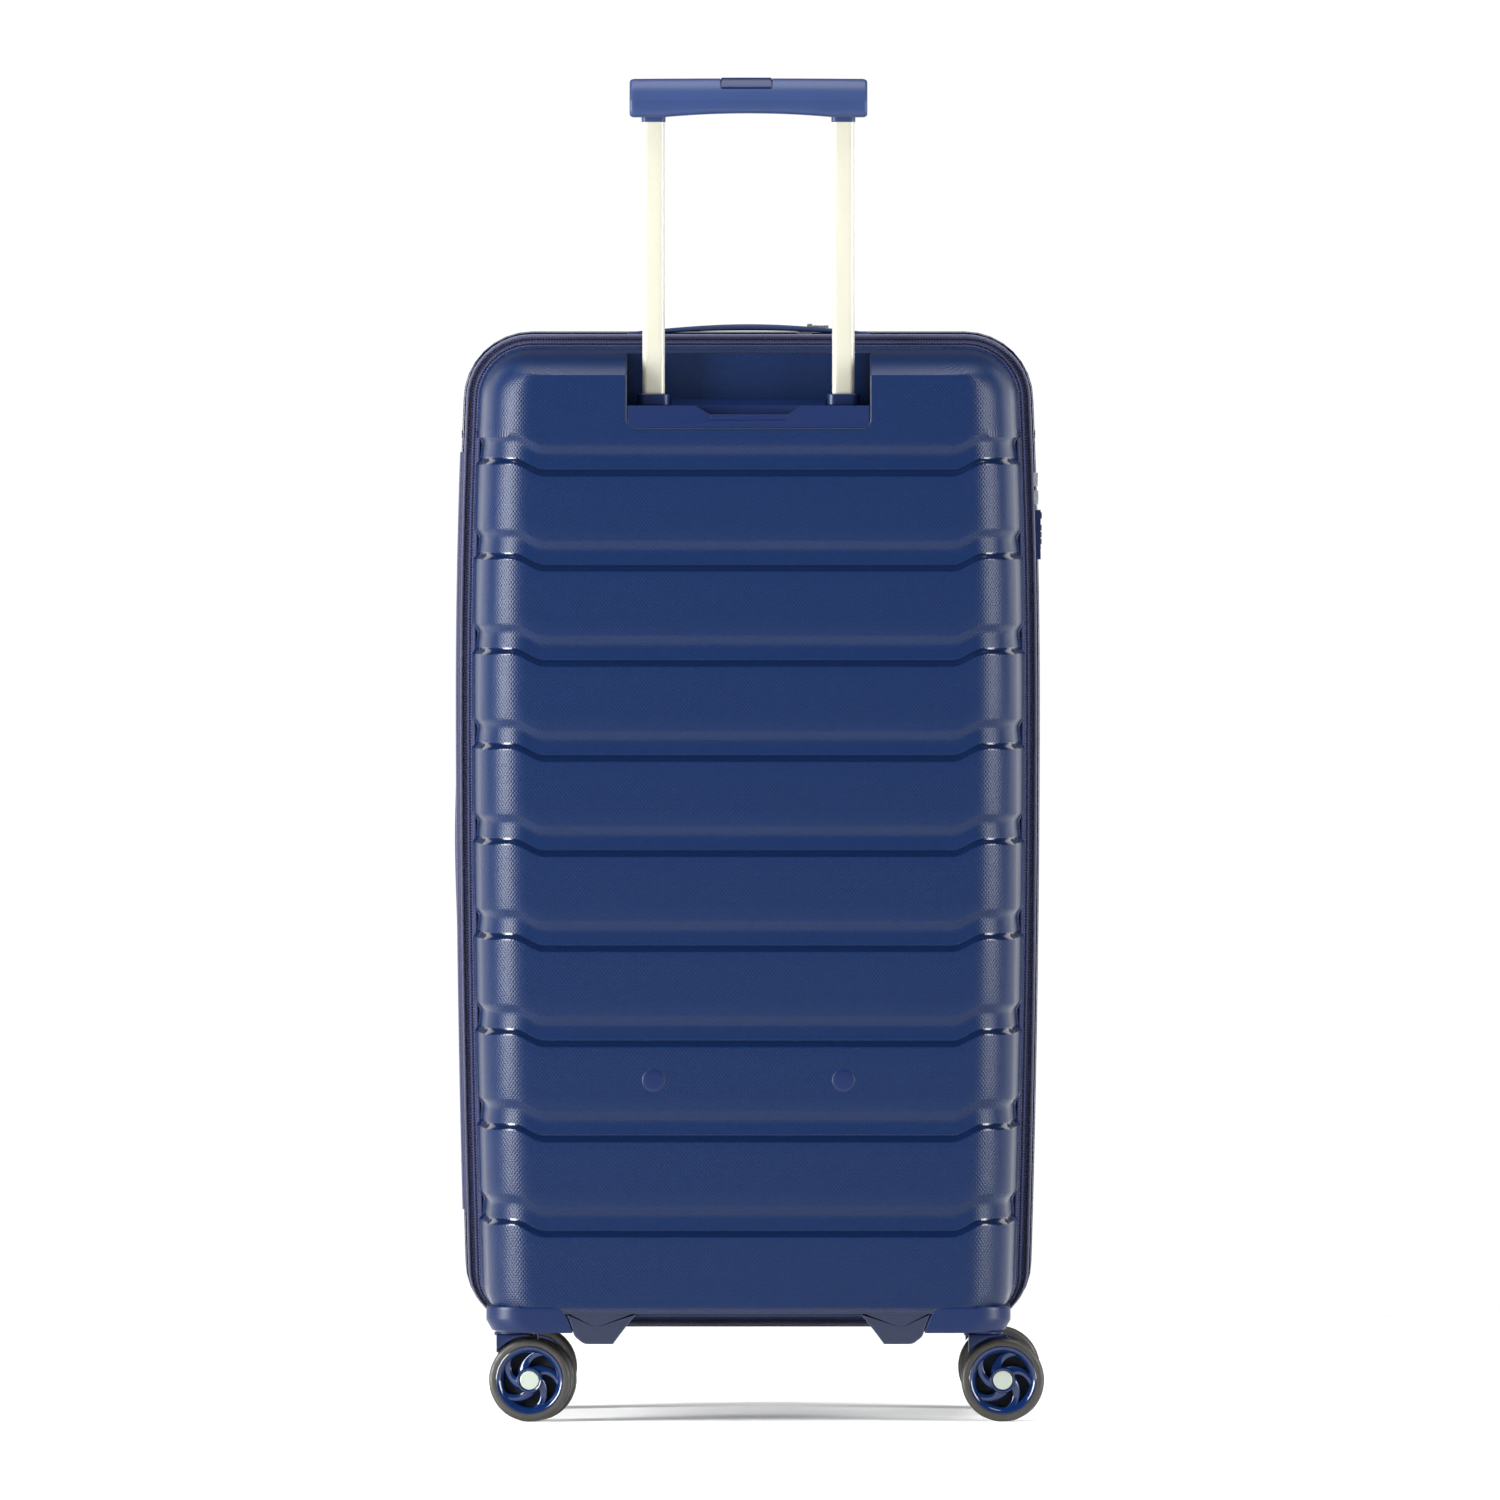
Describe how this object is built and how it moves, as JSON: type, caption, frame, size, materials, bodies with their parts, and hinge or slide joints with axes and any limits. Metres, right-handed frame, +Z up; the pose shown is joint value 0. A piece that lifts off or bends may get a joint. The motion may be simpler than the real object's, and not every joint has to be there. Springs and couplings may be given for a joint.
{
  "type": "hard shell suitcase on wheels",
  "caption": "Tall ribbed hard shell suitcase on twin spinner casters, with a telescopic trolley handle pulled out, carry handles, a side lock and an expander zip.",
  "frame": {"origin": "on the floor under the middle of the case", "axes": "+Z up, +X towards the lock side, the trolley handle's side faces -Y"},
  "size_m": [0.4267, 0.3805, 0.9696],
  "materials": {
    "shell_polypropylene": "embossed twill texture with glossy rib edges",
    "smooth_plastic": "smooth satin moulding",
    "grip_plastic": "fine satin, slightly lighter",
    "tube_aluminium": "satin anodised, pale",
    "sleeve_aluminium": "plain mill finish",
    "dark_plastic": "plain black moulding",
    "steel": "zinc plated",
    "cap_metal": "satin axle heads",
    "zip_fabric": "woven zip tape",
    "band_fabric": "woven nylon over board",
    "lining_fabric": "plain woven polyester",
    "handle_rubber": "soft-touch moulding",
    "rim_plastic": "glossy moulding",
    "tyre_rubber": "soft polyurethane tread"
  },
  "bodies": {
    "rear_half": {"rear_shell": "shell_polypropylene", "rear_left_housing": "smooth_plastic", "rear_right_housing": "smooth_plastic", "handle_well": "smooth_plastic", "trolley_base": "smooth_plastic", "tube_collars": "smooth_plastic", "outer_tube_left": "sleeve_aluminium", "outer_tube_right": "sleeve_aluminium", "tube_anchors": "dark_plastic", "anchor_screws": "steel", "screw_plugs": "smooth_plastic", "rear_zip_tape": "zip_fabric", "rear_lining": "lining_fabric", "rear_straps": "lining_fabric", "strap_buckles": "dark_plastic"},
    "trolley": {"inner_tube_left": "tube_aluminium", "inner_tube_right": "tube_aluminium", "grip": "grip_plastic", "tube_glides": "dark_plastic", "button_springs": "steel"},
    "release": {"release_button": "grip_plastic", "push_rods": "steel"},
    "front_half": {"middle_band": "band_fabric", "band_zip_tapes": "zip_fabric", "hinge_tape": "zip_fabric", "divider": "lining_fabric", "handle_end_plates": "smooth_plastic", "lock_housing": "smooth_plastic", "main_zip_sliders": "steel", "expander_gusset": "zip_fabric"},
    "dial_1": {"lock_dial_1": "smooth_plastic"},
    "dial_2": {"lock_dial_2": "smooth_plastic"},
    "dial_3": {"lock_dial_3": "smooth_plastic"},
    "key": {"key_cylinder": "steel"},
    "lock_slide": {"lock_release": "smooth_plastic"},
    "top_carry": {"top_handle": "handle_rubber"},
    "side_carry": {"side_handle": "handle_rubber"},
    "expander_car": {"expander_slider": "steel"},
    "expander_tab": {"expander_pull": "steel"},
    "front_case": {"front_shell": "shell_polypropylene", "front_left_housing": "smooth_plastic", "front_right_housing": "smooth_plastic", "front_zip_tape": "zip_fabric", "front_lining": "lining_fabric"},
    "rear_left_caster": {"rear_left_fork": "smooth_plastic", "rear_left_axle": "cap_metal"},
    "rear_left_wheels": {"rear_left_rims": "rim_plastic", "rear_left_tyres": "tyre_rubber"},
    "rear_right_caster": {"rear_right_fork": "smooth_plastic", "rear_right_axle": "cap_metal"},
    "rear_right_wheels": {"rear_right_rims": "rim_plastic", "rear_right_tyres": "tyre_rubber"},
    "front_left_caster": {"front_left_fork": "smooth_plastic", "front_left_axle": "cap_metal"},
    "front_left_wheels": {"front_left_rims": "rim_plastic", "front_left_tyres": "tyre_rubber"},
    "front_right_caster": {"front_right_fork": "smooth_plastic", "front_right_axle": "cap_metal"},
    "front_right_wheels": {"front_right_rims": "rim_plastic", "front_right_tyres": "tyre_rubber"}
  },
  "joints": [
    {"name": "trolley_slide", "type": "slide", "parent": "rear_half", "child": "trolley", "axis": [0, 0, 1], "range_m": [-0.195, 0]},
    {"name": "button_press", "type": "slide", "parent": "trolley", "child": "release", "axis": [0, 0, 1], "range_m": [-0.003, 0], "stiffness_N_per_m": 1500, "springref_m": 0.004, "deforming": ["button_springs"]},
    {"name": "case_open", "type": "hinge", "parent": "rear_half", "child": "front_half", "pos_m": [-0.214, -0.016, 0.42], "axis": [0, 0, 1], "range_deg": [0, 180], "deforming": ["hinge_tape"]},
    {"name": "expander", "type": "slide", "parent": "front_half", "child": "front_case", "axis": [0, 1, 0], "range_m": [0, 0.04], "deforming": ["expander_gusset"]},
    {"name": "top_handle_lift", "type": "slide", "parent": "front_half", "child": "top_carry", "axis": [0, 0, 1], "range_m": [0, 0.006]},
    {"name": "side_handle_lift", "type": "slide", "parent": "front_half", "child": "side_carry", "axis": [-1, 0, 0], "range_m": [0, 0.006]},
    {"name": "key_turn", "type": "hinge", "parent": "front_half", "child": "key", "pos_m": [0.208, 0.006, 0.628], "axis": [1, 0, 0], "range_deg": [0, 90]},
    {"name": "lock_open", "type": "slide", "parent": "front_half", "child": "lock_slide", "axis": [0, 0, 1], "range_m": [-0.0024, 0], "stiffness_N_per_m": 200, "springref_m": 0.003},
    {"name": "expander_zip", "type": "slide", "parent": "front_half", "child": "expander_car", "axis": [1, 0, 0], "range_m": [-0.15, 0.08]},
    {"name": "expander_pull_flip", "type": "hinge", "parent": "expander_car", "child": "expander_tab", "pos_m": [0.0445, 0.026, 0.7915], "axis": [0, -1, 0], "range_deg": [0, 150]},
    {"name": "dial_1_turn", "type": "hinge", "parent": "front_half", "child": "dial_1", "pos_m": [0.2083, 0.006, 0.635], "axis": [0, 0, 1], "continuous": true},
    {"name": "dial_2_turn", "type": "hinge", "parent": "front_half", "child": "dial_2", "pos_m": [0.2083, 0.006, 0.64], "axis": [0, 0, 1], "continuous": true},
    {"name": "dial_3_turn", "type": "hinge", "parent": "front_half", "child": "dial_3", "pos_m": [0.2083, 0.006, 0.645], "axis": [0, 0, 1], "continuous": true},
    {"name": "rear_left_swivel", "type": "hinge", "parent": "rear_half", "child": "rear_left_caster", "pos_m": [-0.1695, -0.138, 0.07], "axis": [0, 0, 1], "continuous": true},
    {"name": "rear_left_roll", "type": "hinge", "parent": "rear_left_caster", "child": "rear_left_wheels", "pos_m": [-0.15564, -0.13995, 0.03], "axis": [0.1392, 0.9903, 0], "continuous": true},
    {"name": "rear_right_swivel", "type": "hinge", "parent": "rear_half", "child": "rear_right_caster", "pos_m": [0.1695, -0.138, 0.07], "axis": [0, 0, 1], "continuous": true},
    {"name": "rear_right_roll", "type": "hinge", "parent": "rear_right_caster", "child": "rear_right_wheels", "pos_m": [0.1835, -0.138, 0.03], "axis": [0, 1, 0], "continuous": true},
    {"name": "front_left_swivel", "type": "hinge", "parent": "front_case", "child": "front_left_caster", "pos_m": [-0.1695, 0.138, 0.07], "axis": [0, 0, 1], "continuous": true},
    {"name": "front_left_roll", "type": "hinge", "parent": "front_left_caster", "child": "front_left_wheels", "pos_m": [-0.1555, 0.138, 0.03], "axis": [0, 1, 0], "continuous": true},
    {"name": "front_right_swivel", "type": "hinge", "parent": "front_case", "child": "front_right_caster", "pos_m": [0.1695, 0.138, 0.07], "axis": [0, 0, 1], "continuous": true},
    {"name": "front_right_roll", "type": "hinge", "parent": "front_right_caster", "child": "front_right_wheels", "pos_m": [0.1835, 0.138, 0.03], "axis": [0, 1, 0], "continuous": true}
  ]
}
